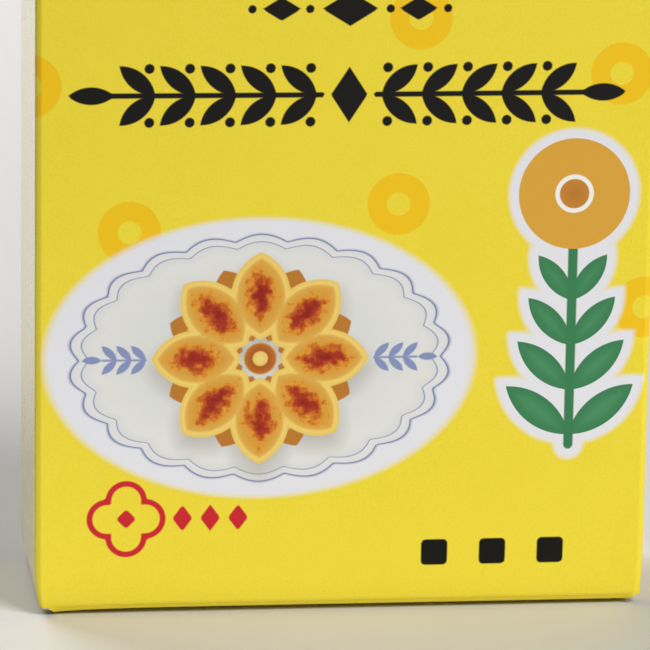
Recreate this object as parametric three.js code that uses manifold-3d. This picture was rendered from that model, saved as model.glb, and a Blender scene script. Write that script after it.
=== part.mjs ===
// A shut folding carton of coated paperboard, standing upright on its bottom panel.
// Millimetres, +Z up. The printed front faces -Y and the origin lies under the carton's middle.
// One cut and creased sheet makes the whole pack: four walls glued along one back corner,
// a bottom panel that folds under from the front wall, and a top panel that folds over from
// the back wall and tucks in behind the front one.

import * as THREE from "three";
import { mergeVertices } from "three/addons/utils/BufferGeometryUtils.js";
import Module from "manifold-3d";

// Driving dimensions of the pack and its board
const width = 115;
const depth = 42;
const height = 148;
const board = 0.4;

// Walls: the radius of the upright folds, and how far each flat wall bellies out at mid height
const foldRadius = 1.5;
const facePuff = 0.7;
const sidePuff = -0.25;
const endPuffShare = 0.08;

// The walls stop short of the end panels, and the side flaps fold in from them
const wallInset = 1.1;
const flapFoldRadius = 0.8;

// Near both ends the upright folds lean in, because the flaps pull them together
const leanHeight = 13;
const leanLeft = 0.9;
const leanRight = 0.45;

// End panels: the hinge fold stands a little proud of the wall, the other edge is tucked in. The
// contents press each panel out, so that its flat middle stands a crown beyond both its folds.
const hingeRadius = 1.3;
const hingeProud = 0.15;
const hingeTop = 2.9;
const tuckRadius = 0.8;
const tuckGap = 0.12;
const panelCrown = 0.8;
const crownRun = 8;
const panelBody = 3.6;
const panelCutLeft = 2.7;
const panelCutRight = 2.9;
const cornerSlope = 1.1;

// The finger notch in the front wall's top edge is part of a circle
const notchHalfWidth = 9;
const notchDepth = 6;
const notchSteps = 20;

// Fineness of the faceted surfaces
const foldSteps = 5;
const faceSteps = 10;
const sideSteps = 5;
const flapSteps = 4;
const leanSteps = 4;
const bellySteps = 10;

const halfWidth = width / 2;
const halfDepth = depth / 2;
const quarterTurn = Math.PI / 2;

const wasm = await Module();
wasm.setup();

// Turns a closed three.js geometry into a solid for joining and cutting.
function solid(geometry) {
  const bare = geometry.clone();
  bare.deleteAttribute("normal");
  bare.deleteAttribute("uv");
  const merged = mergeVertices(bare, 1e-5);
  const mesh = new wasm.Mesh({
    numProp: 3,
    vertProperties: new Float32Array(merged.attributes.position.array),
    triVerts: new Uint32Array(merged.index.array),
  });
  return new wasm.Manifold(mesh);
}

// Turns a joined solid back into a geometry with flat facets.
function geometryOf(body) {
  const mesh = body.getMesh();
  const indexed = new THREE.BufferGeometry();
  indexed.setAttribute("position", new THREE.BufferAttribute(mesh.vertProperties, 3));
  indexed.setIndex(new THREE.BufferAttribute(mesh.triVerts, 1));
  const flat = indexed.toNonIndexed();
  flat.computeVertexNormals();
  return flat;
}

// Points of an arc about a centre, both ends included.
function arcPoints(centreX, centreY, radius, startAngle, endAngle, steps) {
  const points = [];
  for (let step = 0; step <= steps; step += 1) {
    const angle = startAngle + ((endAngle - startAngle) * step) / steps;
    const x = centreX + radius * Math.cos(angle);
    const y = centreY + radius * Math.sin(angle);
    points.push(new THREE.Vector2(x, y));
  }
  return points;
}

// Points along a wall between two folds, without its ends, bellied out as half a sine wave.
function wallPoints(start, end, puff, steps) {
  const points = [];
  const along = end.clone().sub(start);
  const outward = new THREE.Vector2(along.y, -along.x).normalize();
  for (let step = 1; step < steps; step += 1) {
    const share = step / steps;
    const belly = puff * Math.sin(Math.PI * share);
    points.push(start.clone().addScaledVector(along, share).addScaledVector(outward, belly));
  }
  return points;
}

// The glued corner: the right wall ends in a cut edge that laps over the back wall's fold.
function seamCorner() {
  const innerX = halfWidth - board - foldRadius;
  const innerY = halfDepth - foldRadius;
  const cutEdge = new THREE.Vector2(halfWidth, innerY);
  return [cutEdge, ...arcPoints(innerX, innerY, foldRadius, 0, quarterTurn, foldSteps)];
}

// The carton's outline seen from above: four walls joined by three folds and the glued corner.
function wallOutline() {
  const x = halfWidth - foldRadius;
  const y = halfDepth - foldRadius;
  const corners = [
    arcPoints(x, -y, foldRadius, -quarterTurn, 0, foldSteps),
    seamCorner(),
    arcPoints(-x, y, foldRadius, quarterTurn, 2 * quarterTurn, foldSteps),
    arcPoints(-x, -y, foldRadius, 2 * quarterTurn, 3 * quarterTurn, foldSteps),
  ];
  const points = [];
  corners.forEach((corner, index) => {
    const next = corners[(index + 1) % corners.length];
    const startsFace = index % 2 === 1;
    const puff = startsFace ? facePuff : sidePuff;
    const steps = startsFace ? faceSteps : sideSteps;
    points.push(...corner);
    points.push(...wallPoints(corner[corner.length - 1], next[0], puff, steps));
  });
  return new THREE.Shape(points);
}

// Heights of the walls' rings of points: close together in the flap folds and where walls lean.
function wallLevels() {
  const lower = [];
  for (let step = 0; step < flapSteps; step += 1) {
    const angle = (step / flapSteps) * quarterTurn;
    lower.push(wallInset + flapFoldRadius * (1 - Math.cos(angle)));
  }
  const leanStart = wallInset + flapFoldRadius;
  for (let step = 0; step < leanSteps; step += 1) {
    lower.push(leanStart + ((leanHeight - leanStart) * step) / leanSteps);
  }
  const middle = [];
  for (let step = 0; step <= bellySteps; step += 1) {
    middle.push(leanHeight + ((height - 2 * leanHeight) * step) / bellySteps);
  }
  const upper = lower.map((level) => height - level).reverse();
  return [...lower, ...middle, ...upper];
}

// Share of the full belly at a height: almost none at both ends, all of it half way up.
function puffShare(z) {
  return endPuffShare + (1 - endPuffShare) * Math.sin((Math.PI * z) / height);
}

// Share of the full lean at a height: all of it at both ends, none of it past the lean height.
function leanShare(z) {
  const fromEnd = Math.min(z, height - z);
  const share = Math.max(0, 1 - fromEnd / leanHeight);
  return share * share;
}

// How far a side wall has turned in towards its flap at a height, as a quarter circle.
function flapTurn(z) {
  const fromEnd = Math.min(z, height - z) - wallInset;
  const rise = Math.min(Math.max(0, flapFoldRadius - fromEnd), flapFoldRadius);
  return flapFoldRadius - Math.sqrt(flapFoldRadius ** 2 - rise ** 2);
}

// Moves a point of the mid-height outline to the outline at its own height.
function shapeWall(point) {
  const share = puffShare(point.z);
  const beyondFace = Math.abs(point.y) - halfDepth;
  if (beyondFace > 0) {
    point.y = Math.sign(point.y) * (halfDepth + beyondFace * share);
  }
  const isBetweenFolds = Math.abs(point.y) < halfDepth - foldRadius;
  if (isBetweenFolds) {
    const dip = Math.abs(point.x) - halfWidth;
    point.x = Math.sign(point.x) * (halfWidth + dip * share);
  }
  const lean = (point.x < 0 ? leanLeft : leanRight) * leanShare(point.z);
  point.x *= (halfWidth - lean - flapTurn(point.z)) / halfWidth;
}

// The four walls, filled, with the side walls turning in at both ends as their flaps do.
function makeWalls() {
  const levels = wallLevels();
  const steps = levels.length - 1;
  const geometry = new THREE.ExtrudeGeometry(wallOutline(), { depth: steps, steps, bevelEnabled: false });
  const position = geometry.attributes.position;
  const point = new THREE.Vector3();
  for (let index = 0; index < position.count; index += 1) {
    point.fromBufferAttribute(position, index);
    point.z = levels[Math.round(point.z)];
    shapeWall(point);
    position.setXYZ(index, point.x, point.y, point.z);
  }
  return solid(geometry);
}

// Extrudes a profile drawn in depth and height along the carton's width.
function alongWidth(points, startX, endX) {
  const shape = new THREE.Shape(points);
  const geometry = new THREE.ExtrudeGeometry(shape, { depth: endX - startX, bevelEnabled: false });
  const turn = new THREE.Matrix4().makeBasis(
    new THREE.Vector3(0, 1, 0),
    new THREE.Vector3(0, 0, 1),
    new THREE.Vector3(1, 0, 0),
  );
  geometry.applyMatrix4(turn);
  geometry.translate(startX, 0, 0);
  return solid(geometry);
}

// Extrudes a profile drawn in width and height along the carton's depth.
function alongDepth(points, startY, endY) {
  const shape = new THREE.Shape(points);
  const geometry = new THREE.ExtrudeGeometry(shape, { depth: endY - startY, bevelEnabled: false });
  const turn = new THREE.Matrix4().makeBasis(
    new THREE.Vector3(1, 0, 0),
    new THREE.Vector3(0, 0, 1),
    new THREE.Vector3(0, -1, 0),
  );
  geometry.applyMatrix4(turn);
  geometry.translate(0, endY, 0);
  return solid(geometry);
}

// Side view of the bottom panel: hinge fold at the front wall, flat middle that the pack rests
// on, and the tucked edge inside the back wall.
function panelProfile() {
  const hingeFace = -halfDepth - hingeProud;
  const hingeY = hingeFace + hingeRadius;
  const tuckY = halfDepth - board - tuckGap - tuckRadius;
  const hingeZ = panelCrown + hingeRadius;
  const tuckZ = panelCrown + tuckRadius;
  return [
    new THREE.Vector2(hingeY, hingeTop),
    ...arcPoints(hingeY, hingeZ, hingeRadius, 2 * quarterTurn, 3 * quarterTurn, foldSteps),
    new THREE.Vector2(hingeY + crownRun, 0),
    new THREE.Vector2(tuckY - crownRun, 0),
    ...arcPoints(tuckY, tuckZ, tuckRadius, 3 * quarterTurn, 4 * quarterTurn, foldSteps),
    new THREE.Vector2(tuckY + tuckRadius, panelBody),
    new THREE.Vector2(hingeY, panelBody),
  ];
}

// Outline of an end panel seen from the front, with its two corners cut back on a slope.
function panelOutline() {
  const left = -halfWidth + panelCutLeft;
  const right = halfWidth - panelCutRight;
  return [
    new THREE.Vector2(left, 0),
    new THREE.Vector2(right, 0),
    new THREE.Vector2(right + cornerSlope, hingeRadius),
    new THREE.Vector2(right + cornerSlope, panelBody),
    new THREE.Vector2(left - cornerSlope, panelBody),
    new THREE.Vector2(left - cornerSlope, hingeRadius),
  ];
}

// The bottom panel, which carries the pack and is its flat resting face.
function makeBottomPanel() {
  const slab = alongWidth(panelProfile(), -halfWidth, halfWidth);
  return slab.intersect(alongDepth(panelOutline(), -depth, depth));
}

// The top panel is the same panel turned half over: hinged at the back, tucked at the front.
function makeTopPanel() {
  return makeBottomPanel().rotate([180, 0, 0]).translate([0, 0, height]);
}

// The finger notch, one board deep into the front wall.
function makeThumbNotch() {
  const radius = (notchHalfWidth ** 2 + notchDepth ** 2) / (2 * notchDepth);
  const centreZ = height - wallInset - notchDepth + radius;
  const halfAngle = Math.asin(notchHalfWidth / radius);
  const lowest = 3 * quarterTurn;
  const outline = arcPoints(0, centreZ, radius, lowest - halfAngle, lowest + halfAngle, notchSteps);
  outline.push(new THREE.Vector2(notchHalfWidth, height + board));
  outline.push(new THREE.Vector2(-notchHalfWidth, height + board));
  return alongDepth(outline, -depth, -halfDepth + board);
}

// The whole carton as one filled body.
function makeCarton() {
  const closed = makeWalls().add(makeBottomPanel()).add(makeTopPanel());
  return closed.subtract(makeThumbNotch());
}

const coatedBoard = new THREE.MeshStandardMaterial({
  name: "coated_paperboard",
  color: "#e8d437",
  roughness: 0.4,
  metalness: 0,
});

const carton = new THREE.Mesh(geometryOf(makeCarton()), coatedBoard);
carton.name = "carton";

const group = new THREE.Group();
group.add(carton);

export default group;
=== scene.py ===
import bpy
import numpy as np
from mathutils import Matrix, Vector


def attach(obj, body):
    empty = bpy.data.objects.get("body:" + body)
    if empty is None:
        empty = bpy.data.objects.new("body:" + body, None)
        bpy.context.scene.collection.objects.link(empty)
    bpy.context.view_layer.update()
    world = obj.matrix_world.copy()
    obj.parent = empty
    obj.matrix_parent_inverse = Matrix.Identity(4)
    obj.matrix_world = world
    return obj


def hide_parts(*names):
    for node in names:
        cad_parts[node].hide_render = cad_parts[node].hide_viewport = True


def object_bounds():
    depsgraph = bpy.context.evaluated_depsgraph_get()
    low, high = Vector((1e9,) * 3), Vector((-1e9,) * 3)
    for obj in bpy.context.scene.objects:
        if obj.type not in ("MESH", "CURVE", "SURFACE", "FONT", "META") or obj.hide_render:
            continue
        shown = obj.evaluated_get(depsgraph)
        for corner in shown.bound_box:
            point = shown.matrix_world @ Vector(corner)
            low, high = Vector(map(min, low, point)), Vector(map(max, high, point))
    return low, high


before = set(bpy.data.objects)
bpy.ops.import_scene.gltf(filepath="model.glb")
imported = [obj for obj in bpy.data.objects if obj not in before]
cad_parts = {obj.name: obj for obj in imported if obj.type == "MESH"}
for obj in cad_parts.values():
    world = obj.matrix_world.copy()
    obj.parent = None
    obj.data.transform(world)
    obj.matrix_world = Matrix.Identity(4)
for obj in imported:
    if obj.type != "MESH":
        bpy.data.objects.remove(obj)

# The frame and its sizes
# The carton is one shut box of folded board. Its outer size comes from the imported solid, in
# millimetres here; every shape below is worked out in millimetres and scaled to metres last.
MM = 0.001
cad_low, cad_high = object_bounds()
HALF_WIDTH = (cad_high[0] - cad_low[0]) / 2 / MM
HEIGHT = (cad_high[2] - cad_low[2]) / MM
FACE_PUFF = 0.7
SIDE_PUFF = -0.05
END_PUFF_SHARE = 0.08
HALF_DEPTH = (cad_high[1] - cad_low[1]) / 2 / MM - FACE_PUFF

# Camera
# A long lens looks slightly down on the front from a little left of it, so that the left wall
# shows as a narrow strip. The pose was fitted to the carton's edges in the 650 pixel picture.
PICTURE_SIDE = 650
FOCAL_PIXELS = 5010.0
SENSOR = 36.0
CAMERA_TURN = 7.16
CAMERA_DROP = 13.55
CAMERA_ROLL = 0.874
CAMERA_DISTANCE = 927.1
CAMERA_SLIDE = -3.73
CAMERA_LIFT = -4.88
AIM_HEIGHT = 60.0


def camera_matrix():
    """The camera's place and axes: it looks along a line turned from +Y and tipped down, then
    rolls about that line, and sits back along it from the aim point on the front wall."""
    turn, drop, roll = np.radians([CAMERA_TURN, CAMERA_DROP, CAMERA_ROLL])
    forward = Vector((np.sin(turn) * np.cos(drop), np.cos(turn) * np.cos(drop), -np.sin(drop)))
    level = Vector((np.cos(turn), -np.sin(turn), 0.0))
    above = level.cross(forward)
    right = level * np.cos(roll) + above * np.sin(roll)
    up = above * np.cos(roll) - level * np.sin(roll)
    aim = Vector((0.0, -HALF_DEPTH, AIM_HEIGHT))
    place = aim - forward * CAMERA_DISTANCE + level * CAMERA_SLIDE + above * CAMERA_LIFT
    axes = Matrix((right, up, -forward)).transposed().to_4x4()
    return Matrix.Translation(place * MM) @ axes


camera_data = bpy.data.cameras.new("camera")
camera_data.sensor_width = SENSOR
camera_data.lens = SENSOR * FOCAL_PIXELS / PICTURE_SIDE
camera_data.clip_start = 0.05
camera_data.clip_end = 20.0
camera = bpy.data.objects.new("camera", camera_data)
camera.matrix_world = camera_matrix()
bpy.context.collection.objects.link(camera)
bpy.context.scene.camera = camera
bpy.context.scene.view_settings.view_transform = "Standard"


def linear(hex_colour, alpha=1.0):
    """An sRGB hex value as linear red, green, blue and alpha, by the sRGB standard's curve."""
    shares = [int(hex_colour[i : i + 2], 16) / 255 for i in (1, 3, 5)]
    bent = [c / 12.92 if c <= 0.04045 else ((c + 0.055) / 1.055) ** 2.4 for c in shares]
    return (*bent, alpha)


def add_node(tree, kind, settings=None, inputs=None):
    """Adds a node, sets its own settings, and fills its inputs by name or number: a socket is
    linked, anything else becomes the input's value."""
    node = tree.nodes.new(kind)
    for key, value in (settings or {}).items():
        setattr(node, key, value)
    for key, value in (inputs or {}).items():
        if isinstance(value, bpy.types.NodeSocket):
            tree.links.new(value, node.inputs[key])
        else:
            node.inputs[key].default_value = value
    return node


def new_material(name):
    """An empty node material with its output, returned with its tree."""
    material = bpy.data.materials.new(name)
    material.use_nodes = True
    material.node_tree.nodes.clear()
    return material, material.node_tree


# Floor
# One wide sheet of pale painted board lies under the carton and fills the picture behind it. It is
# the stage and isn't part of the carton.
FLOOR_REACH = 6000.0
FLOOR_DROP = 0.02
QUARTERS = ((-1, -1), (1, -1), (1, 1), (-1, 1))

floor_mesh = bpy.data.meshes.new("floor")
floor_corners = [Vector((x * FLOOR_REACH, y * FLOOR_REACH, -FLOOR_DROP)) * MM for x, y in QUARTERS]
floor_mesh.from_pydata(floor_corners, [], [(0, 1, 2, 3)])
floor = bpy.data.objects.new("floor", floor_mesh)
bpy.context.collection.objects.link(floor)

paint, paint_tree = new_material("matt_white_paint")
paint_shader = add_node(
    paint_tree,
    "ShaderNodeBsdfPrincipled",
    inputs={"Base Color": linear("#E4E2DE"), "Roughness": 0.65},
)
add_node(paint_tree, "ShaderNodeOutputMaterial", inputs={"Surface": paint_shader.outputs["BSDF"]})
floor_mesh.materials.append(paint)

# Light
# A large soft lamp high on the right gives the light of a shaded window. A glowing panel lies on
# the floor in front and throws light up at the carton's foot, as a pale table cloth does; a third
# lamp, behind, brightens the floor at the back, and the pale room fills the rest.
KEY_PLACE = (880.0, -1000.0, 1150.0)
KEY_AIM = (0.0, 0.0, AIM_HEIGHT)
KEY_SIZE = (900.0, 900.0)
KEY_POWER = 24.2
KEY_COLOUR = "#FFFDF8"
FILL_PLACE = (0.0, -136.5, 0.6)
FILL_AIM = (0.0, -136.5, 100.0)
FILL_SIZE = (300.0, 226.0)
FILL_POWER = 0.109
FILL_COLOUR = "#FFFFFF"
BACK_PLACE = (-420.0, 900.0, 700.0)
BACK_AIM = (-160.0, 420.0, 0.0)
BACK_SIZE = (700.0, 700.0)
BACK_POWER = 8.7
BACK_COLOUR = "#F7F9FF"
ROOM_COLOUR = "#F4F5F6"
ROOM_STRENGTH = 0.1


def add_lamp(name, place, aim, size, power, colour):
    """A lamp of a given width and height that faces a point. It isn't seen itself."""
    data = bpy.data.lights.new(name, "AREA")
    data.shape = "RECTANGLE"
    data.size, data.size_y = size[0] * MM, size[1] * MM
    data.energy = power
    data.color = linear(colour)[:3]
    lamp = bpy.data.objects.new(name, data)
    lamp.location = Vector(place) * MM
    lamp.rotation_euler = (Vector(aim) * MM - lamp.location).to_track_quat("-Z", "Y").to_euler()
    lamp.visible_camera = False
    bpy.context.collection.objects.link(lamp)
    return lamp


add_lamp("key", KEY_PLACE, KEY_AIM, KEY_SIZE, KEY_POWER, KEY_COLOUR)
fill = add_lamp("fill", FILL_PLACE, FILL_AIM, FILL_SIZE, FILL_POWER, FILL_COLOUR)
fill.visible_glossy = False
add_lamp("back", BACK_PLACE, BACK_AIM, BACK_SIZE, BACK_POWER, BACK_COLOUR)
room = bpy.data.worlds.new("pale_room")
room.use_nodes = True
background = room.node_tree.nodes["Background"]
background.inputs["Color"].default_value = linear(ROOM_COLOUR)
background.inputs["Strength"].default_value = ROOM_STRENGTH
bpy.context.scene.world = room

# Printed sheet
# The board is printed flat before it is cut and folded. Places on it are given along the sheet
# (0 at the front wall's middle, to the right) and up it from the carton's foot, in millimetres.
# Each ink is kept as its distance to the printed shapes, so that its edge stays sharp.
RING_OUTER = 5.8
RING_INNER = 2.2
FRONT_RINGS = (
    (-58.5, 100.4),
    (-40.2, 73.1),
    (9.5, 78.0),
    (13.1, 112.7),
    (50.7, 102.0),
    (56.1, 57.7),
    (-31.0, 134.0),
    (40.0, 139.0),
)
SIDE_RINGS = ((8.5, 126.0), (-11.0, 112.5), (11.5, 44.0), (-12.0, 30.5))
TOP_RINGS = ((-43.0, 157.5), (-9.0, 181.0), (31.0, 156.0), (52.0, 179.0))
FAR = 99.0

# An upright fold turns the sheet through a right angle. FOLD_TILTS is its tilt in degrees at each
# of FOLD_RUNS, measured along the board from the wall's flat part: the creasing rule has pressed
# the middle stretch nearly flat, and the board breaks over past it. The sums of the tilt's cosine
# and sine over short steps say how far the fold reaches along its wall and away from it.
FOLD_RUNS = (0.0, 0.38, 0.6, 1.1, 1.25, 1.35, 1.95)
FOLD_TILTS = (0, 22, 27, 31, 44, 58, 90)
FOLD_LENGTH = FOLD_RUNS[-1]
FOLD_POINTS = 400
fold_run = np.linspace(0, FOLD_LENGTH, FOLD_POINTS)
fold_tilt = np.radians(np.interp((fold_run[1:] + fold_run[:-1]) / 2, FOLD_RUNS, FOLD_TILTS))
fold_along = np.append(0, np.cumsum(np.cos(fold_tilt) * np.diff(fold_run)))
fold_away = np.append(0, np.cumsum(np.sin(fold_tilt) * np.diff(fold_run)))
FOLD_ALONG, FOLD_AWAY = fold_along[-1], fold_away[-1]
FLAT_HALF = HALF_WIDTH - FOLD_ALONG
SIDE_LENGTH = 2 * (HALF_DEPTH - FOLD_AWAY)
SIDE_START = FLAT_HALF + FOLD_LENGTH + SIDE_LENGTH / 2
BACK_START = -2 * SIDE_START


def disc(s, z, centre, radius):
    """Distance to a disc, negative inside it."""
    return np.hypot(s - centre[0], z - centre[1]) - radius


def leaf_arcs(s, z, start, angle, length, width):
    """Distances to the two equal circles whose overlap is a pointed leaf. It starts at a point and
    runs along an angle in degrees from the sheet's direction."""
    turn = np.radians(angle)
    along = (s - start[0]) * np.cos(turn) + (z - start[1]) * np.sin(turn) - length / 2
    across = (z - start[1]) * np.cos(turn) - (s - start[0]) * np.sin(turn)
    radius = (length**2 + width**2) / (4 * width)
    offset = radius - width / 2
    return np.stack([np.hypot(along, across + side * offset) - radius for side in (1, -1)])


def nearest_arcs(leaves, depth):
    """The two arcs of the nearest of several leaves in a row, cut off at a depth inside them. Kept
    apart, they meet in a sharp tip on the board. Every second leaf's arcs change places, so that
    arcs that face each other across a gap are kept as one and no ink shows in the gap."""
    arcs = np.array([pair[::-1] if index % 2 else pair for index, pair in enumerate(leaves)])
    arcs = np.maximum(arcs, -depth)
    chosen = arcs.max(axis=1).argmin(axis=0)
    return np.take_along_axis(arcs, chosen[None, None], axis=0)[0]


def kept_arcs(name, arcs):
    """Two arcs' distances under the names that an ink for leaves reads."""
    return {name + "_left": arcs[0], name + "_right": arcs[1]}


def lozenge(s, z, centre, half_s, half_z):
    """Distance to a diamond with half diagonals half_s and half_z."""
    share = np.abs(s - centre[0]) / half_s + np.abs(z - centre[1]) / half_z - 1
    return share * half_s * half_z / np.hypot(half_s, half_z)


def bar(s, z, start, end, radius):
    """Distance to a round-ended stroke between two points."""
    start, end = np.array(start, float), np.array(end, float)
    run = end - start
    share = ((s - start[0]) * run[0] + (z - start[1]) * run[1]) / (run @ run)
    share = np.clip(share, 0, 1)
    return np.hypot(s - start[0] - share * run[0], z - start[1] - share * run[1]) - radius


def nearest(*distances):
    """Distance to the nearest of several shapes."""
    return np.minimum.reduce(distances)


def rings(s, z):
    """Distance to the amber rings, which lie scattered above the walls' lowest part."""
    centres = [(middle + a, b) for middle in (0.0, BACK_START) for a, b in FRONT_RINGS]
    centres += [(middle + a, b) for middle in (-SIDE_START, SIDE_START) for a, b in SIDE_RINGS]
    centres += [(BACK_START + a, b) for a, b in TOP_RINGS]
    result = np.full(s.shape, FAR)
    for centre in centres:
        away = disc(s, z, centre, 0.0)
        result = nearest(result, np.maximum(away - RING_OUTER, RING_INNER - away))
    return result


# The dark band across the top is a laurel border: two branches that meet in a diamond. A short row
# of diamonds and dots stands above it.
BAND_HEIGHT = 98.6
BAND_START = 6.0
BAND_PAIRS = 5
BAND_PITCH = 7.4
BAND_TIP = BAND_START + BAND_PAIRS * BAND_PITCH
BAND_LEAF = (8.6, 3.3)
BAND_SPREAD = 40.0
BAND_STEM = 0.5
BAND_STEM_PAST = 1.0
BAND_DIAMOND = (3.4, 5.2)
BERRY_RADIUS = 0.95
BERRY_PLACE = (1.1, 5.0)
ROW_HEIGHT = 114.5
ROW_WIDE = (5.2, 3.2)
ROW_SMALL = (3.6, 2.2)
ROW_SMALL_PLACE = 12.6
ROW_DOT_PLACES = (7.4, 18.0)
ROW_DOT_RADIUS = 0.8
FLAT_DEPTH = 0.6


def laurel(s, z, height):
    """The laurel border: the arcs of its leaves, which stand in pairs along a stem, and the
    distance to the rest, which is the stem, the diamond, and a berry by each pair."""
    away, up = np.abs(s), np.abs(z - height)
    starts = BAND_START + BAND_PITCH * np.arange(BAND_PAIRS)
    leaves = [leaf_arcs(away, up, (start, 0), BAND_SPREAD, *BAND_LEAF) for start in starts]
    leaves.append(leaf_arcs(away, up, (BAND_TIP, 0), 0, *BAND_LEAF))
    places = [(start + BERRY_PLACE[0], BERRY_PLACE[1]) for start in starts]
    berries = [disc(away, up, place, BERRY_RADIUS) for place in places]
    stem_start, stem_end = BAND_START - BAND_STEM_PAST, BAND_TIP + BAND_STEM_PAST
    stem = bar(away, up, (stem_start, 0), (stem_end, 0), BAND_STEM)
    middle = lozenge(away, up, (0, 0), *BAND_DIAMOND)
    return nearest_arcs(leaves, FLAT_DEPTH), nearest(middle, stem, *berries)


def diamond_row(s, z, height):
    """Distance to a short row of diamonds and dots, alike on both sides of its middle."""
    away = np.abs(s)
    wide = lozenge(away, z, (0.0, height), *ROW_WIDE)
    small = lozenge(away, z, (ROW_SMALL_PLACE, height), *ROW_SMALL)
    dots = [disc(away, z, (place, height), ROW_DOT_RADIUS) for place in ROW_DOT_PLACES]
    return nearest(wide, small, *dots)


# A pale medallion with a scalloped edge fills the lower left of the front. A golden rosette of
# eight petals lies in its middle, and a small blue-grey branch on each side of the rosette.
MEDALLION_CENTRE = (-15.8, 49.0)
MEDALLION_HALF = (36.2, 24.0)
SCALLOPS = 22
SCALLOP_DEPTH = 0.055
PETALS = 8
PETAL_START = 3.6
PETAL_SIZE = (16.6, 11.0)
PETAL_DEPTH = 5.0
BEHIND_SIZE = (14.6, 9.0)
CORE_START = 6.6
CORE_SIZE = (10.6, 5.8)
HALO_GROWTH = 2.6
SHADE_DROP = 2.0
BRANCH_START = 21.2
BRANCH_PAIRS = 3
BRANCH_PITCH = 2.7
BRANCH_SPREAD = 44.0
BRANCH_STEM = 0.26
BRANCH_LEAF = (3.9, 1.45)
BOSS_RADIUS = 3.0


def petal_arcs(s, z, start, size, turned=0.0, drop=0.0):
    """The arcs of a ring of petals that point outwards from the rosette's centre."""
    leaves = []
    for petal in range(PETALS):
        angle = 360 * (petal + turned) / PETALS
        turn = np.radians(angle)
        foot_s = MEDALLION_CENTRE[0] + start * np.cos(turn)
        foot_z = MEDALLION_CENTRE[1] - drop + start * np.sin(turn)
        leaves.append(leaf_arcs(s, z, (foot_s, foot_z), angle, *size))
    return nearest_arcs(leaves, PETAL_DEPTH)


def medallion_shares(s, z):
    """Two distances from the medallion's centre, as shares: 1 on its plain ellipse, and 1 on its
    scalloped edge, whose radius swells as the size of a sine wave round it."""
    along = (s - MEDALLION_CENTRE[0]) / MEDALLION_HALF[0]
    up = (z - MEDALLION_CENTRE[1]) / MEDALLION_HALF[1]
    ellipse = np.hypot(along, up)
    swell = np.abs(np.sin(np.arctan2(up, along) * SCALLOPS / 2))
    return ellipse, ellipse / (1 - SCALLOP_DEPTH * (1 - swell))


def branches(s, z):
    """The two small branches: the arcs of their leaves, which stand in pairs with one at the tip,
    and the distance to their stems."""
    away, up = np.abs(s - MEDALLION_CENTRE[0]), np.abs(z - MEDALLION_CENTRE[1])
    starts = BRANCH_START + BRANCH_PITCH * np.arange(BRANCH_PAIRS)
    tip = BRANCH_START + BRANCH_PITCH * BRANCH_PAIRS
    leaves = [leaf_arcs(away, up, (start, 0), BRANCH_SPREAD, *BRANCH_LEAF) for start in starts]
    leaves.append(leaf_arcs(away, up, (tip, 0), 0, *BRANCH_LEAF))
    stem = bar(away, up, (BRANCH_START, 0), (tip, 0), BRANCH_STEM)
    return nearest_arcs(leaves, FLAT_DEPTH), stem


# A tall flower stands on the right: a golden roundel on a green stem with paired leaves.
FLOWER_CENTRE = (42.4, 79.5)
FLOWER_RADIUS = 10.4
STEM_FOOT = (42.4, 31.5)
STEM_RADIUS = 0.9
LEAF_PAIRS = 4
LEAF_START = 2.0
LEAF_PITCH = 8.6
LEAF_SIZE = (15.2, 5.4)
LEAF_SHRINK = 0.1
LEAF_ANGLE = 38.0
LEAF_ANGLE_STEP = 5.0
LEAF_DEPTH = 2.2
FLOWER_HALO = 1.9


def sprig(s, z):
    """The arcs of the paired leaves, which are shorter and steeper towards the top, and the
    distance to their stem."""
    away = np.abs(s - STEM_FOOT[0])
    leaves = []
    for pair in range(LEAF_PAIRS):
        foot = (0, STEM_FOOT[1] + LEAF_START + pair * LEAF_PITCH)
        size = np.array(LEAF_SIZE) * (1.0 - LEAF_SHRINK * pair)
        leaves.append(leaf_arcs(away, z, foot, LEAF_ANGLE + LEAF_ANGLE_STEP * pair, *size))
    stem = bar(away, z, (0, STEM_FOOT[1]), (0, FLOWER_CENTRE[1] - FLOWER_RADIUS), STEM_RADIUS)
    return nearest_arcs(leaves, LEAF_DEPTH), stem


# Small marks: a red outlined four-lobed knot with three diamonds, and three dark squares.
KNOT_CENTRE = (-40.5, 18.5)
KNOT_REACH = 3.5
KNOT_LOBE = 0.95 * KNOT_REACH
KNOT_STROKE = 0.55
KNOT_MIDDLE = (1.9, 1.9)
RED_ROW = (-30.0, 18.5)
RED_DIAMOND = (1.9, 2.6)
RED_PITCH = 5.2
SQUARE_ROW = (17.5, 11.0)
SQUARE_HALF = 2.5
SQUARE_ROUND = 0.8
SQUARE_PITCH = 11.0
MARKS = 3


def knot(s, z):
    """Distance to the red knot, which is the outline of four discs with a diamond inside, and to
    the diamonds beside it."""
    lobes = []
    for a, b in ((1, 0), (-1, 0), (0, 1), (0, -1)):
        centre = (KNOT_CENTRE[0] + a * KNOT_REACH, KNOT_CENTRE[1] + b * KNOT_REACH)
        lobes.append(disc(s, z, centre, KNOT_LOBE))
    outline = np.abs(nearest(*lobes)) - KNOT_STROKE
    middle = lozenge(s, z, KNOT_CENTRE, *KNOT_MIDDLE)
    places = [(RED_ROW[0] + RED_PITCH * index, RED_ROW[1]) for index in range(MARKS)]
    return nearest(outline, middle, *[lozenge(s, z, place, *RED_DIAMOND) for place in places])


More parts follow.
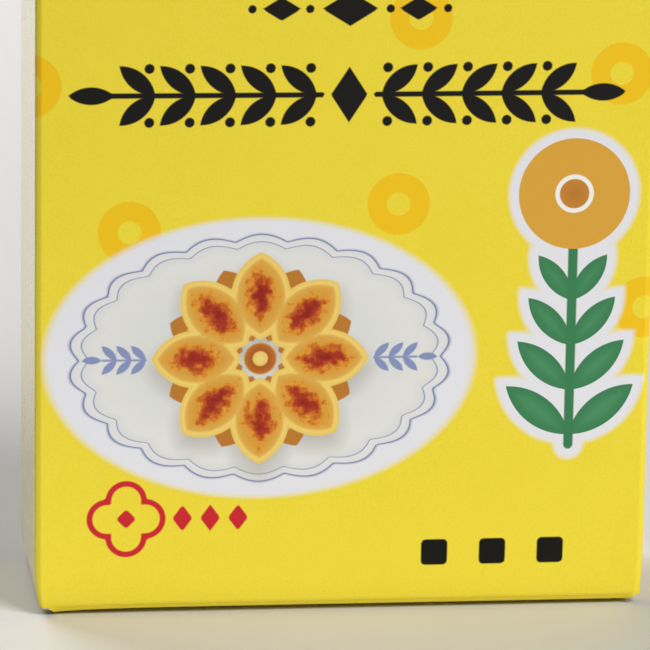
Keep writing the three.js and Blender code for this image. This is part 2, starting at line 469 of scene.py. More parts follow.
def squares(s, z):
    """Distance to the row of dark rounded squares: each is a smaller square, grown by the radius
    of its corners."""
    result = np.full(s.shape, FAR)
    for index in range(MARKS):
        off_s = np.abs(s - SQUARE_ROW[0] - index * SQUARE_PITCH) - SQUARE_HALF + SQUARE_ROUND
        off_z = np.abs(z - SQUARE_ROW[1]) - SQUARE_HALF + SQUARE_ROUND
        outside = np.hypot(np.maximum(off_s, 0), np.maximum(off_z, 0))
        inside = np.minimum(np.maximum(off_s, off_z), 0)
        result = nearest(result, outside + inside - SQUARE_ROUND)
    return result


def flower_inks(s, z):
    """The tall flower's inks and the pale line round it."""
    flower = disc(s, z, FLOWER_CENTRE, FLOWER_RADIUS)
    leaves, stem = sprig(s, z)
    return {
        "ink_flower_halo": nearest(flower, stem, leaves.max(axis=0)) - FLOWER_HALO,
        **kept_arcs("leaves_green", leaves),
        "ink_stem": stem,
        "ink_flower": flower,
    }


def front_inks(sheet_s, z, middle):
    """Every ink of a front or back wall as a distance in millimetres, or for the medallion as a
    share of its radius. middle is where on the sheet the wall's middle lies."""
    s = sheet_s - middle
    ellipse, scalloped = medallion_shares(s, z)
    shade = petal_arcs(s, z, PETAL_START, PETAL_SIZE, drop=SHADE_DROP)
    behind = petal_arcs(s, z, PETAL_START, BEHIND_SIZE, turned=0.5)
    core = petal_arcs(s, z, CORE_START, CORE_SIZE)
    blue_leaves, blue_stem = branches(s, z)
    black_leaves, border = laurel(s, z, BAND_HEIGHT)
    return {
        "ink_rings": rings(sheet_s, z),
        "ink_halo": (ellipse - 1) * MEDALLION_HALF[1] - HALO_GROWTH,
        "ink_medallion": scalloped,
        "ink_shade": shade.max(axis=0),
        **kept_arcs("leaves_blue", blue_leaves),
        "ink_blue": blue_stem,
        **kept_arcs("leaves_behind", behind),
        **kept_arcs("leaves_petal", petal_arcs(s, z, PETAL_START, PETAL_SIZE)),
        "ink_core": core.max(axis=0),
        "ink_boss": disc(s, z, MEDALLION_CENTRE, BOSS_RADIUS),
        **flower_inks(s, z),
        **kept_arcs("leaves_black", black_leaves),
        "ink_black": nearest(border, diamond_row(s, z, ROW_HEIGHT), squares(s, z)),
        "ink_red": knot(s, z),
    }


# Coated paperboard
# White-lined chipboard, offset printed in full colour and coated with a clear water-based gloss
# varnish. The varnish gives soft, slightly wavy reflections, strong at a grazing angle; the ink
# lies in it with a faint cloudiness and a few specks. Every ink is a colour ramp over distance.
YELLOW = "#EDD838"
YELLOW_THIN = "#F2DD46"
YELLOW_FULL = "#E7D32B"
EDGE = 0.12
CRUMB_GRAIN = 1.1
SPECK_COLOUR = "#6B5A1C"
SPECK_SPACING = 5.0
SPECK_SIZE = 0.13
SPECK_CORE = 0.4
SPECK_SHARE = 0.35
WAVE_DEPTH = 0.12
WAVE_STRENGTH = 0.25
FIBRE_DEPTH = 0.02
FIBRE_STRENGTH = 0.3
# Each noise has a grain size in millimetres and a detail. The mottle stands for the dots of the
# printing screen and the fibre for the paper's own: both are drawn several times too coarse,
# because at their real size they are too fine to show.
NOISES = {
    "cloud": (9.0, 4.0),
    "mottle": (0.4, 2.0),
    "crumb": (1.3, 5.0),
    "fibre": (0.28, 3.0),
    "wave": (9.0, 1.0),
}
# The yellow's two noises, the span of each one's ramp, and how much of it shows
YELLOW_NOISES = (("cloud", (0.25, 0.75), 0.35), ("mottle", (0.3, 0.7), 0.5))
CRUMB_SPAN = (0.3, 0.7)


def flat_ink(name, colour, softness=EDGE, strength=1.0):
    """One plain ink: its colour inside the shape and nothing outside, over a soft edge."""
    stops = [(0.0, colour, strength), (1.0, colour, 0.0)]
    return name, -softness, softness, stops


def kept_distance(tree, name):
    """The distance kept on the mesh for an ink: for leaves it is the greater one of two arcs."""
    sides = [name + "_left", name + "_right"] if name.startswith("leaves") else [name]
    kept = [add_node(tree, "ShaderNodeAttribute", {"attribute_name": side}) for side in sides]
    if len(kept) == 1:
        return kept[0].outputs["Fac"]
    both = {0: kept[0].outputs["Fac"], 1: kept[1].outputs["Fac"]}
    return add_node(tree, "ShaderNodeMath", {"operation": "MAXIMUM"}, both).outputs["Value"]


def add_ink(tree, below, ink, grain=None):
    """Lays one ink over the colours below it: its distance, less some grain, runs through a ramp
    whose alpha says how much of the ink covers."""
    name, nearest_edge, farthest, stops = ink
    distance = kept_distance(tree, name)
    if grain:
        both = {0: distance, 1: grain}
        distance = add_node(tree, "ShaderNodeMath", {"operation": "ADD"}, both).outputs["Value"]
    span = {"Value": distance, "From Min": nearest_edge, "From Max": farthest}
    share = add_node(tree, "ShaderNodeMapRange", inputs=span)
    ramp = add_node(tree, "ShaderNodeValToRGB", inputs={"Fac": share.outputs["Result"]})
    elements = ramp.color_ramp.elements
    elements[0].position, elements[1].position = stops[0][0], stops[-1][0]
    for place, _, _ in stops[1:-1]:
        elements.new(place)
    for element, (_, colour, alpha) in zip(elements, stops):
        element.color = linear(colour, alpha)
    layers = {"Factor": ramp.outputs["Alpha"], "A": below, "B": ramp.outputs["Color"]}
    return add_node(tree, "ShaderNodeMix", {"data_type": "RGBA"}, layers).outputs["Result"]


def coated_board(name, inks, grainy=()):
    """Varnished, printed board. The varnish is a smooth clear coat over paper that is itself
    half matt; its fibres and slow waves are relief, in sizes of a few tenths and some
    millimetres. The edges of the inks named in grainy are broken up by the crumb noise."""
    material, tree = new_material(name)
    place = add_node(tree, "ShaderNodeTexCoord").outputs["Object"]
    noise = {}
    for kind, (size, detail) in NOISES.items():
        inputs = {"Vector": place, "Scale": 1 / (size * MM), "Detail": detail}
        noise[kind] = add_node(tree, "ShaderNodeTexNoise", inputs=inputs).outputs["Fac"]
    # The yellow
    colour = linear(YELLOW)
    for kind, span, share in YELLOW_NOISES:
        ramp = add_node(tree, "ShaderNodeValToRGB", inputs={"Fac": noise[kind]})
        for element, position, ink in zip(ramp.color_ramp.elements, span, (YELLOW_THIN, YELLOW_FULL)):
            element.position, element.color = position, linear(ink)
        layers = {"Factor": share, "A": colour, "B": ramp.outputs["Color"]}
        colour = add_node(tree, "ShaderNodeMix", {"data_type": "RGBA"}, layers).outputs["Result"]
    # The other inks
    spread = {
        "Value": noise["crumb"],
        "From Min": CRUMB_SPAN[0],
        "From Max": CRUMB_SPAN[1],
        "To Min": -CRUMB_GRAIN,
        "To Max": CRUMB_GRAIN,
    }
    crumb = add_node(tree, "ShaderNodeMapRange", inputs=spread)
    for ink in inks:
        colour = add_ink(tree, colour, ink, crumb.outputs["Result"] if ink[0] in grainy else None)
    # Specks of dust caught in the varnish
    cells = {"Vector": place, "Scale": 1 / (SPECK_SPACING * MM)}
    specks = add_node(tree, "ShaderNodeTexVoronoi", inputs=cells)
    fade = {
        "Value": specks.outputs["Distance"],
        "From Min": SPECK_CORE * SPECK_SIZE / SPECK_SPACING,
        "From Max": SPECK_SIZE / SPECK_SPACING,
        "To Min": SPECK_SHARE,
        "To Max": 0.0,
    }
    speck = add_node(tree, "ShaderNodeMapRange", inputs=fade)
    layers = {"Factor": speck.outputs["Result"], "A": colour, "B": linear(SPECK_COLOUR)}
    colour = add_node(tree, "ShaderNodeMix", {"data_type": "RGBA"}, layers).outputs["Result"]
    # Waves of the board and fibres of the paper
    waves = {"Height": noise["wave"], "Strength": WAVE_STRENGTH, "Distance": WAVE_DEPTH * MM}
    normal = add_node(tree, "ShaderNodeBump", inputs=waves).outputs["Normal"]
    fibres = {"Height": noise["fibre"], "Strength": FIBRE_STRENGTH, "Distance": FIBRE_DEPTH * MM}
    normal = add_node(tree, "ShaderNodeBump", inputs={**fibres, "Normal": normal}).outputs["Normal"]
    shader = add_node(
        tree,
        "ShaderNodeBsdfPrincipled",
        inputs={
            "Base Color": colour,
            "Roughness": 0.4,
            "IOR": 1.12,
            "Coat Weight": 1.0,
            "Coat Roughness": 0.09,
            "Coat IOR": 1.3,
            "Normal": normal,
        },
    )
    add_node(tree, "ShaderNodeOutputMaterial", inputs={"Surface": shader.outputs["BSDF"]})
    return material


PULP_SIZE = 0.35
PULP_DEPTH = 0.05
PULP_STRENGTH = 0.5
PULP_COLOURS = ("#BDB7A8", "#E6E2D6")


def bare_board():
    """The board's uncoated grey-white back and its cut edges: matt, with short pressed fibres."""
    material, tree = new_material("uncoated_chipboard")
    place = add_node(tree, "ShaderNodeTexCoord").outputs["Object"]
    inputs = {"Vector": place, "Scale": 1 / (PULP_SIZE * MM), "Detail": 4.0}
    pulp = add_node(tree, "ShaderNodeTexNoise", inputs=inputs).outputs["Fac"]
    ramp = add_node(tree, "ShaderNodeValToRGB", inputs={"Fac": pulp})
    for element, fibre in zip(ramp.color_ramp.elements, PULP_COLOURS):
        element.color = linear(fibre)
    fibres = {"Height": pulp, "Strength": PULP_STRENGTH, "Distance": PULP_DEPTH * MM}
    relief = add_node(tree, "ShaderNodeBump", inputs=fibres)
    finish = {"Base Color": ramp.outputs["Color"], "Roughness": 0.85, "Normal": relief.outputs["Normal"]}
    shader = add_node(tree, "ShaderNodeBsdfPrincipled", inputs=finish)
    add_node(tree, "ShaderNodeOutputMaterial", inputs={"Surface": shader.outputs["BSDF"]})
    return material


# Every ink in the order of printing: its name, the distances at which its ramp starts and ends,
# and the ramp's stops, each with a place, a colour and how much of it covers what lies below.
PRINT_INKS = [
    flat_ink("ink_rings", "#F1C20A", strength=0.92),
    flat_ink("ink_halo", "#E3E4EC", softness=0.6),
    (
        "ink_medallion",
        0.0,
        1.02,
        [
            (0.0, "#D3D8DA", 1.0),
            (0.55, "#DADCDC", 1.0),
            (0.84, "#E0E1E1", 1.0),
            (0.900, "#D9DBDD", 1.0),
            (0.906, "#7F8BB4", 1.0),
            (0.913, "#E2E2E4", 1.0),
            (0.955, "#DDDEE2", 1.0),
            (0.961, "#5B6CA3", 1.0),
            (0.970, "#B9C0D2", 1.0),
            (0.985, "#E3E4EC", 0.0),
        ],
    ),
    flat_ink("ink_shade", "#8D8474", softness=2.6, strength=0.55),
    flat_ink("leaves_blue", "#8492BE"),
    flat_ink("ink_blue", "#8492BE"),
    flat_ink("leaves_behind", "#B9782A"),
    (
        "leaves_petal",
        -PETAL_DEPTH,
        EDGE,
        [
            (0.0, "#C98A30", 1.0),
            (0.45, "#D39B3C", 1.0),
            (0.72, "#DCAA4C", 1.0),
            (0.82, "#EED070", 1.0),
            (0.96, "#E9C766", 1.0),
            (1.0, "#E9C766", 0.0),
        ],
    ),
    (
        "ink_core",
        -3.0,
        0.5,
        [
            (0.0, "#8E1F12", 1.0),
            (0.35, "#A93416", 1.0),
            (0.62, "#C86A1E", 1.0),
            (0.86, "#DE9A30", 1.0),
            (1.0, "#E2A83C", 0.0),
        ],
    ),
    (
        "ink_boss",
        -BOSS_RADIUS,
        EDGE,
        [
            (0.0, "#F0D88C", 1.0),
            (0.42, "#E9C766", 1.0),
            (0.50, "#A9581E", 1.0),
            (0.86, "#B9692A", 1.0),
            (0.97, "#D39B3C", 1.0),
            (1.0, "#D39B3C", 0.0),
        ],
    ),
    flat_ink("ink_flower_halo", "#E3E4EC", softness=0.5),
    (
        "leaves_green",
        -LEAF_DEPTH,
        EDGE,
        [
            (0.0, "#478C61", 1.0),
            (0.5, "#3D8256", 1.0),
            (0.95, "#377D51", 1.0),
            (1.0, "#377D51", 0.0),
        ],
    ),
    flat_ink("ink_stem", "#377D51"),
    (
        "ink_flower",
        -FLOWER_RADIUS,
        EDGE,
        [
            (0.0, "#B5742A", 1.0),
            (0.26, "#C4852F", 1.0),
            (0.27, "#F0F0EC", 1.0),
            (0.34, "#F0F0EC", 1.0),
            (0.35, "#D8A23A", 1.0),
            (0.99, "#D8A23A", 1.0),
            (1.0, "#D8A23A", 0.0),
        ],
    ),
    flat_ink("leaves_black", "#070604"),
    flat_ink("ink_black", "#070604"),
    flat_ink("ink_red", "#C8202C"),
]
FLOWER_INKS = ("ink_rings", "ink_flower_halo", "leaves_green", "ink_stem", "ink_flower")
BORDER_INKS = ("ink_rings", "leaves_black", "ink_black")
PLAIN_INKS = ("ink_rings", "ink_black")


def some_inks(names):
    """The inks with these names, in the order in which they are printed."""
    return [ink for ink in PRINT_INKS if ink[0] in names]


face_board = coated_board("varnished_board_face", PRINT_INKS, grainy=("ink_core",))
flower_board = coated_board("varnished_board_flower", some_inks(FLOWER_INKS))
border_board = coated_board("varnished_board_border", some_inks(BORDER_INKS))
plain_board = coated_board("varnished_board_plain", some_inks(PLAIN_INKS))
chipboard = bare_board()

# Walls and end panels
# The sheet is creased and folded: three upright folds and one glued corner, a hinge fold under
# the front wall and another over the back wall, and tucked edges behind the other two. Each
# piece is one stretch of the sheet, worked out as its outer face and one board inwards. In the
# values given for both sides, -1 is the left one and 1 the right one.
BOARD = 0.4
WALL_INSET = 1.1
FOLD_MARGIN = 1.5
# The ends are pressed in: by how much at the front and at the back, and over what height
LEAN_LEFT = (0.85, 0.55)
LEAN_RIGHT = (0.5, 0.45)
LEAN_HEIGHT = 13.0
LEAN_POWER = {-1: 2.0, 1: 1.0}
PINCH = {-1: 0.65, 1: 0.0}
PINCH_REACH = 1.2
# The hinge fold under the front wall, with a crease just above it
HINGE_RADIUS = 1.3
HINGE_LENGTH = HINGE_RADIUS * np.pi / 2
HINGE_EXTRA = HINGE_LENGTH - HINGE_RADIUS
HINGE_PROUD = 0.06
CREASE_PLACE = 1.4
CREASE_SPREAD = (0.42, 0.6)
CREASE_DEPTH = 0.21
# The hinge fold stands a crown's height above the panel's middle, and droops at its left end
CROWN = 0.8
DROOP = 0.55
DROOP_SPREAD = 8.0
FOLD_RISE = 0.2
# The corners beside the hinge fold are cut back
CUT = {-1: 3.9, 1: 2.9}
CUT_SLOPE = {-1: 1.5, 1: 2.0}
CUT_LEFT = -HALF_WIDTH + CUT[-1]
CUT_RIGHT = HALF_WIDTH - CUT[1]
CORNER_FOOT = {-1: 1.5, 1: 1.75}
BARE_EDGE = 0.35
# The finger notch in the top edge
NOTCH_HALF = 9.0
NOTCH_DEPTH = 6.0
# The grid: where its rows change, and its steps and cells
FOOT_ROWS = 4.5
NOTCH_ROWS = 118.0
WALL_ROWS = HEIGHT - WALL_INSET + HINGE_EXTRA - CROWN
FOLD_STEPS = 18
HINGE_STEPS = 12
CREASE_STEPS = 16
CORNER_RUN = 5.0
CORNER_STEPS = 10
FRONT_CELL = 0.55
BACK_CELL = 0.7
SHARP_ANGLE = 40.0


def ease(low, high, value):
    """0 below low, 1 above high, and a smooth S between them."""
    share = np.clip((value - low) / (high - low), 0, 1)
    return share * share * (3 - 2 * share)


def puff_share(z):
    """Share of a wall's full belly at a height: half a sine wave with a little left at the ends."""
    return END_PUFF_SHARE + (1 - END_PUFF_SHARE) * np.sin(np.pi * np.clip(z / HEIGHT, 0, 1))


def lean_at(x, back, z):
    """How far the upright folds lean in at a height: the square of the nearness to an end, and a
    pinch that grows as a power of e in the last millimetres. back is 0 at the front wall and 1 at
    the back wall."""
    from_end = np.minimum(z, HEIGHT - z)
    share = np.clip(1 - from_end / LEAN_HEIGHT, 0, 1)
    left = LEAN_LEFT[0] + (LEAN_LEFT[1] - LEAN_LEFT[0]) * back
    right = LEAN_RIGHT[0] + (LEAN_RIGHT[1] - LEAN_RIGHT[0]) * back
    pinch = np.where(x < 0, PINCH[-1], PINCH[1])
    pinch = pinch * np.exp(-np.maximum(from_end - WALL_INSET, 0) / PINCH_REACH)
    return np.where(x < 0, left, right) * share**2 + pinch


def fold_path(run):
    """How far a fold goes on along its wall, and away from it, over a run of board: the running
    sums of its tilt's cosine and sine. The tilt grows evenly between FOLD_RUNS, slowest where
    the crease was pressed flat."""
    return np.interp(run, fold_run, fold_along), np.interp(run, fold_run, fold_away)


def droop_at(x):
    """How far the hinge fold hangs low: the whole fold climbs slightly to the left, and its last
    stretch hangs down by an amount that fades away from the cut edge."""
    rise = FOLD_RISE * (CUT_RIGHT - x) / (CUT_RIGHT - CUT_LEFT)
    return DROOP * np.exp(-np.maximum(x - CUT_LEFT, 0) / DROOP_SPREAD) - rise


def inward(outer):
    """The face one board inside an outer face: each point moves against the grid's normal."""
    normal = np.cross(np.gradient(outer, axis=1), np.gradient(outer, axis=0))
    normal /= np.linalg.norm(normal, axis=2, keepdims=True)
    return outer - normal * BOARD


def quads(index):
    """The faces of a grid of point numbers."""
    corners = [index[:-1, :-1], index[:-1, 1:], index[1:, 1:], index[1:, :-1]]
    return np.stack(corners, axis=-1).reshape(-1, 4)


def edge_points(index):
    """The point numbers once round a grid's border."""
    return np.concatenate([index[0, :-1], index[:-1, -1], index[-1, :0:-1], index[:0:-1, 0]])


# Shares of a piece's bake map: its margin, the outer face, the inner face's strip and the rim's
MAP_EDGE = 0.01
MAP_SIZE = (0.79, 0.98)
MAP_INNER = (0.83, 0.94)
MAP_RIM = (0.965, 0.985)


def unrolled(outer, rim_count):
    """Places of a shell's face corners on its bake map. The outer face lies unrolled at one scale:
    its rows and columns stand as far apart as they do on the board, on average. The inner face
    and the cut edge are narrow strips beside it."""
    along = np.linalg.norm(np.diff(outer, axis=1), axis=2).mean(axis=0)
    up = np.linalg.norm(np.diff(outer, axis=0), axis=2).mean(axis=1)
    along, up = np.append(0, np.cumsum(along)), np.append(0, np.cumsum(up))
    scale = min(MAP_SIZE[0] / along[-1], MAP_SIZE[1] / up[-1])
    outer_map = np.stack(np.meshgrid(MAP_EDGE + along * scale, MAP_EDGE + up * scale), axis=-1)
    strip = MAP_INNER[0] + (MAP_INNER[1] - MAP_INNER[0]) * along[::2] / along[-1]
    inner_map = np.stack(np.meshgrid(strip, MAP_EDGE + up[::2] * scale), axis=-1)
    steps = MAP_EDGE + MAP_SIZE[1] * np.arange(2 * rim_count + 1) / (2 * rim_count)
    start, middle, end = steps[:-1:2], steps[1::2], steps[2::2]
    rim_v = np.stack([end, middle, start, start, end], axis=-1)
    rim_u = np.broadcast_to(np.array(MAP_RIM)[[0, 0, 0, 1, 1]], rim_v.shape)
    return outer_map.reshape(-1, 2), inner_map.reshape(-1, 2), np.stack([rim_u, rim_v], axis=-1)


def shell(name, outer, coat, inks, bare_edge=0.0):
    """Makes a piece of board from its outer face, a grid of points with rows going up and columns
    to the right as seen from outside. The inner face, of every second row and column, and the cut
    edges close it, and the inks' distances are kept on its points. bare_edge is how much lower
    the inner plies reach along the foot, so that the cut edge shows."""
    inner = inward(outer)[::2, ::2]
    inner[0, :, 2] -= bare_edge
    points = np.concatenate([outer.reshape(-1, 3), inner.reshape(-1, 3)]) * MM
    outer_index = np.arange(outer[..., 0].size).reshape(outer.shape[:2])
    inner_index = np.arange(inner[..., 0].size).reshape(inner.shape[:2]) + outer_index.size
    outer_faces, inner_faces = quads(outer_index), quads(inner_index)[:, ::-1]
    outer_edge, inner_edge = edge_points(outer_index), edge_points(inner_index)
    outer_next, inner_next = np.roll(outer_edge, -2)[::2], np.roll(inner_edge, -1)
    rim = [outer_next, outer_edge[1::2], outer_edge[::2], inner_edge, inner_next]
    rim = np.stack(rim, axis=-1)
    faces = [*outer_faces.tolist(), *inner_faces.tolist(), *rim.tolist()]
    mesh = bpy.data.meshes.new(name)
    mesh.from_pydata(points.tolist(), [], faces)
    mesh.materials.append(coat)
    mesh.materials.append(chipboard)
    bare_count = len(inner_faces) + len(rim)
    mesh.polygons.foreach_set("material_index", [0] * len(outer_faces) + [1] * bare_count)
    mesh.polygons.foreach_set("use_smooth", [True] * len(faces))
    mesh.set_sharp_from_angle(angle=np.radians(SHARP_ANGLE))
    outer_map, inner_map, rim_map = unrolled(outer, len(rim))
    face_points = np.concatenate([outer_faces, inner_faces]).reshape(-1)
    face_map = np.concatenate([outer_map, inner_map])[face_points]
    corners = np.concatenate([face_map, rim_map.reshape(-1, 2)])
    mesh.uv_layers.new(name="OFBake").data.foreach_set("uv", corners.reshape(-1).astype(np.float32))
    for ink, distance in inks.items():
        kept = mesh.attributes.new(ink, "FLOAT", "POINT")
        both = np.concatenate([distance.reshape(-1), distance[::2, ::2].reshape(-1)])
        kept.data.foreach_set("value", both.astype(np.float32))
    piece = bpy.data.objects.new(name, mesh)
    bpy.context.collection.objects.link(piece)
    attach(piece, "root")
    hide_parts("carton")


def spaced(*stretches):
    """Grid lines from stretches of (start, end, least number of steps), each once. Every stretch
    gets an even number of steps."""
    lines = []
    for start, end, steps in stretches:
        even = 2 * int(np.ceil(steps / 2))
        lines.append(np.linspace(start, end, even + 1)[:-1])
    return np.concatenate([*lines, [stretches[-1][1]]])


def notched(u, t):
    """Heights in the sheet with the finger notch cut in its top edge: an arc of a circle, and the
    rows above NOTCH_ROWS close up under it."""
    radius = (NOTCH_HALF**2 + NOTCH_DEPTH**2) / (2 * NOTCH_DEPTH)
    dip = np.sqrt(np.maximum(radius**2 - u**2, 0)) - (radius - NOTCH_DEPTH)
    dip = np.maximum(dip, 0) * (np.abs(u) < NOTCH_HALF)
    closed_up = (t - NOTCH_ROWS) * (1 - dip / (WALL_ROWS - NOTCH_ROWS))
    return np.where(t > NOTCH_ROWS, NOTCH_ROWS + closed_up, t)


def hinge_path(t):
    """Height and depth round the hinge fold and up the wall: a quarter circle, then straight. The
    crease is a groove in it, a bell curve that is narrower on its lower side."""
    turn = np.clip(t / HINGE_LENGTH, 0, 1) * np.pi / 2
    spread = np.where(t < CREASE_PLACE, *CREASE_SPREAD)
    groove = CREASE_DEPTH * np.exp(-(((t - CREASE_PLACE) / spread) ** 2))
    z = CROWN + HINGE_RADIUS - (HINGE_RADIUS - groove) * np.cos(turn)
    z = np.where(t < HINGE_LENGTH, z, t - HINGE_EXTRA + CROWN)
    return z, HINGE_RADIUS - (HINGE_RADIUS - groove) * np.sin(turn)


def pressed_in(x, back, z):
    """Places across a wall whose ends are pressed in. A point's distance from the side and its
    lean are joined as the root of a sum of powers: with power 1 the whole fold moves in by the
    lean, and with power 2 the fold nearly stays and the side beyond it presses in."""
    power = np.where(x < 0, LEAN_POWER[-1], LEAN_POWER[1])
    lean = lean_at(x, back, z) * np.abs(x) / HALF_WIDTH
    from_side = ((HALF_WIDTH - np.abs(x)) ** power + lean**power) ** (1 / power)
    return np.sign(x) * (HALF_WIDTH - from_side)


def hinged_wall(along, height, back=0, lap=0.0, notch=False):
    """A front or back wall with its upright folds and the hinge fold at its foot, as the front
    stands. along and height are grid lines in the flat sheet, height measured round the hinge
    fold from its lowest line. Where the corners are cut back the wall ends straight instead.
    lap is how far the right fold is set in under a wall that is glued over it."""
    u, t = np.meshgrid(along, height)
    flat_left, flat_right = -FLAT_HALF, FLAT_HALF - lap
    cut_left = np.clip((CUT_LEFT - u) / CUT_SLOPE[-1], 0, 1)
    cut_right = np.clip((u - CUT_RIGHT) / CUT_SLOPE[1], 0, 1)
    hinge = 1 - cut_left - cut_right
    corner = HINGE_EXTRA - CROWN
    foot = cut_left * (CORNER_FOOT[-1] + corner) + cut_right * (CORNER_FOOT[1] + corner)
    t = np.where(t < FOOT_ROWS, foot + (FOOT_ROWS - foot) * t / FOOT_ROWS, t)
    if notch:
        t = notched(u, t)
    # Round the upright folds
    right_along, right_away = fold_path(u - flat_right)
    left_along, left_away = fold_path(flat_left - u)
    x = np.clip(u, flat_left, flat_right) + right_along - left_along
    beyond = np.maximum(u - flat_right - FOLD_LENGTH, 0) + np.maximum(flat_left - FOLD_LENGTH - u, 0)
    depth = right_away + left_away + beyond
    # Round the hinge fold, except at the cut corners
    hinge_z, hinge_depth = hinge_path(t)
    straight_z = t - HINGE_EXTRA + CROWN
    in_fold = 1 - ease(0, FOOT_ROWS, t)
    z = straight_z + (hinge_z - straight_z) * hinge - droop_at(u) * in_fold * hinge
    share = np.clip((u - flat_left) / (flat_right - flat_left), 0, 1)
    belly = FACE_PUFF * np.sin(np.pi * share) * puff_share(z)
    y = -HALF_DEPTH + depth + (hinge_depth - HINGE_PROUD * in_fold) * hinge - belly
    return np.stack([pressed_in(x, back, z), y, z], axis=-1), u, z


def wall_columns(cell, lap=0.0):
    """Grid lines across a hinged wall: close in the folds and where the corners are cut back."""
    left, right = -FLAT_HALF, FLAT_HALF - lap
    return spaced(
        (left - FOLD_LENGTH - FOLD_MARGIN, left - FOLD_LENGTH, 2),
        (left - FOLD_LENGTH, left, FOLD_STEPS),
        (left, left + CORNER_RUN, CORNER_STEPS),
        (left + CORNER_RUN, right - CORNER_RUN, (right - left) / cell),
        (right - CORNER_RUN, right, CORNER_STEPS),
        (right, right + FOLD_LENGTH, FOLD_STEPS),
        (right + FOLD_LENGTH, right + FOLD_LENGTH + FOLD_MARGIN, 2),
    )


def wall_rows(cell):
    """Grid lines up a hinged wall: close round the hinge fold and its crease."""
    return spaced(
        (0.0, HINGE_LENGTH, HINGE_STEPS),
        (HINGE_LENGTH, FOOT_ROWS, CREASE_STEPS),
        (FOOT_ROWS, WALL_ROWS, (WALL_ROWS - FOOT_ROWS) / cell),
    )


front_grid = wall_columns(FRONT_CELL), wall_rows(FRONT_CELL)
front_face, front_s, front_z = hinged_wall(*front_grid, notch=True)
bare_corner = BARE_EDGE * np.clip((CUT_LEFT - front_s[0, ::2]) / CUT_SLOPE[-1], 0, 1)
shell("front_wall", front_face, face_board, front_inks(front_s, front_z, 0.0), bare_corner)

# The back wall is the same stretch of sheet turned half over, so that its hinge is at the top.
# Its fold at the glued corner goes in under the right wall.
SEAM_LAP = BOARD + 0.05


def turned_over(grid):
    """A grid turned half over about the carton's width, with its rows going up again."""
    return grid[::-1, ::-1] * (1, -1, -1) + (0, 0, HEIGHT)


back_grid = wall_columns(BACK_CELL, SEAM_LAP), wall_rows(BACK_CELL)
back_face, back_u, back_up = hinged_wall(*back_grid, back=1, lap=SEAM_LAP)
back_s = BACK_START - back_u[::-1, ::-1]
back_z = HEIGHT - back_up[::-1, ::-1]
shell("back_wall", turned_over(back_face), face_board, front_inks(back_s, back_z, BACK_START))

# Side walls
# Each side wall carries a small flap at both ends, which folds in under the end panel. The
# right wall ends at the back in a bare cut edge, glued over the back wall's fold. A flower is
# printed on the right wall, and a short row of diamonds high on the left one.
SIDE_FLOWER_SHIFT = (-FLOWER_CENTRE[0], 13.0)
SIDE_ROW_HEIGHT = 132.0
FLAP_RADIUS = 0.8
FLAP_REACH = 10.0
FLAP_TAPER = 0.14
FLAP_STEPS = 6
ARC_POINTS = 9
SIDE_CELL = 0.8


def side_wall(name, side, start_y, end_y, board):
    """A side wall from its bottom flap up to its top flap. The path turns through a quarter
    circle at both ends; the flaps narrow towards their free edges."""
    arc = np.linspace(0, np.pi / 2, ARC_POINTS)
    wall_low, wall_high = WALL_INSET + FLAP_RADIUS, HEIGHT - WALL_INSET - FLAP_RADIUS
    wall_z = spaced((wall_low, wall_high, HEIGHT / SIDE_CELL))
    flap = np.linspace(FLAP_REACH, 0, FLAP_STEPS + 1)[:-1]
    low_depth = np.append(flap + FLAP_RADIUS, FLAP_RADIUS * (1 - np.sin(arc[:-1])))
    low_z = WALL_INSET + FLAP_RADIUS * np.append(np.zeros(len(flap)), 1 - np.cos(arc[:-1]))
    depth = np.concatenate([low_depth, np.zeros(len(wall_z)), low_depth[::-1]])
    height = np.concatenate([low_z, wall_z, HEIGHT - low_z[::-1]])
    wall_y = spaced((start_y, end_y, abs(end_y - start_y) / SIDE_CELL))
    along_y, depth = np.meshgrid(wall_y, depth)
    z = np.broadcast_to(height[:, None], depth.shape)
    share = (along_y - start_y) / (end_y - start_y)
    dip = SIDE_PUFF * np.sin(np.pi * share) ** 2 * puff_share(z)
    back = (along_y + HALF_DEPTH) / (2 * HALF_DEPTH)
    x = side * (HALF_WIDTH + dip - depth - lean_at(side, back, z))
    middle = (start_y + end_y) / 2
    y = middle + (along_y - middle) * (1 - FLAP_TAPER * ease(0, FLAP_REACH, depth - FLAP_RADIUS))
    face = np.stack([x, y, z], axis=-1)
    sheet_s = side * (SIDE_START + along_y)
    sheet_z = z + np.where(z < HEIGHT / 2, -1, 1) * np.maximum(depth - FLAP_RADIUS, 0)
    from_middle = sheet_s - side * SIDE_START
    if side > 0:
        inks = flower_inks(from_middle - SIDE_FLOWER_SHIFT[0], sheet_z - SIDE_FLOWER_SHIFT[1])
    else:
        inks = {"ink_black": diamond_row(from_middle, sheet_z, SIDE_ROW_HEIGHT)}
    shell(name, face, board, {"ink_rings": rings(sheet_s, sheet_z), **inks})


FOLD_FRONT = -HALF_DEPTH + FOLD_AWAY + FOLD_MARGIN
FOLD_BACK = HALF_DEPTH - FOLD_AWAY - FOLD_MARGIN
side_wall("left_wall", -1, FOLD_BACK, FOLD_FRONT, plain_board)
side_wall("right_wall", 1, FOLD_FRONT, HALF_DEPTH - FOLD_AWAY, flower_board)

# End panels
# The bottom panel runs back from the front wall's hinge fold and tucks up inside the back wall.
# The contents press its middle down flat, a crown below both its folds. The top panel is the
# same piece turned half over.
PANEL_CELL = 0.8
CROWN_RUN = 8.0
TUCK_RADIUS = 0.8
TUCK_GAP = 0.12
TUCK_REACH = 12.0
TUCK_STEPS = 8
TUCK_TAPER = 0.012


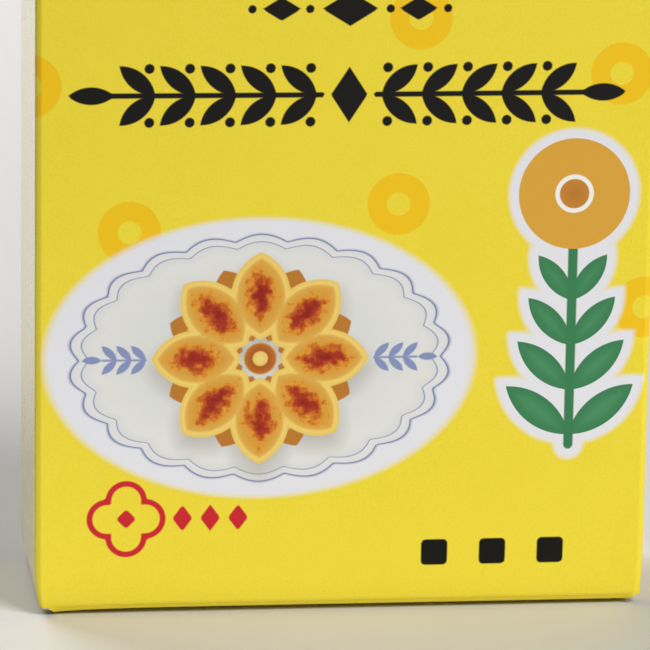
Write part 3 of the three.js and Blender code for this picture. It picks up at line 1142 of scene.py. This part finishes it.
def end_panel():
    """The bottom panel, as seen from below: down the tucked edge, round its fold, over the flat
    middle, and forward to the hinge fold's lowest line."""
    tuck_face = HALF_DEPTH - BOARD - TUCK_GAP
    tuck_line = tuck_face - TUCK_RADIUS
    hinge_line = -HALF_DEPTH - HINGE_PROUD + HINGE_RADIUS
    arc = np.linspace(0, np.pi / 2, ARC_POINTS)
    flat_y = spaced((tuck_line, hinge_line, 2 * HALF_DEPTH / PANEL_CELL))
    tuck_z = np.linspace(TUCK_REACH, CROWN + TUCK_RADIUS, TUCK_STEPS + 1)[:-1]
    tuck_y = np.full(len(tuck_z), tuck_face)
    path_y = np.concatenate([tuck_y, tuck_line + TUCK_RADIUS * np.cos(arc), flat_y[1:]])
    flat_z = CROWN * (1 - ease(0, CROWN_RUN, np.minimum(flat_y - hinge_line, tuck_line - flat_y)))
    path_z = np.concatenate([tuck_z, CROWN + TUCK_RADIUS * (1 - np.sin(arc)), flat_z[1:]])
    across = spaced((CUT_LEFT, CUT_RIGHT, (CUT_RIGHT - CUT_LEFT) / PANEL_CELL))
    x, y = np.meshgrid(across, path_y)
    z = np.broadcast_to(path_z[:, None], x.shape)
    z = z - droop_at(x) * (1 - ease(0, CROWN_RUN, y - hinge_line))
    x = x * (1 - TUCK_TAPER * ease(CROWN + TUCK_RADIUS, TUCK_REACH, z))
    sheet_z = hinge_line - y - z
    return np.stack([x, y, z], axis=-1), x, sheet_z


bottom_face, bottom_s, bottom_z = end_panel()
bottom_inks = {"ink_rings": rings(bottom_s, bottom_z), "ink_black": np.full(bottom_s.shape, FAR)}
shell("bottom_panel", bottom_face, plain_board, bottom_inks)
top_s = BACK_START - bottom_s[::-1, ::-1]
top_z = HEIGHT - bottom_z[::-1, ::-1]
top_leaves, top_border = laurel(top_s - BACK_START, top_z, HEIGHT + HALF_DEPTH)
top_inks = {
    "ink_rings": rings(top_s, top_z),
    **kept_arcs("leaves_black", top_leaves),
    "ink_black": top_border,
}
shell("top_panel", turned_over(bottom_face), border_board, top_inks)
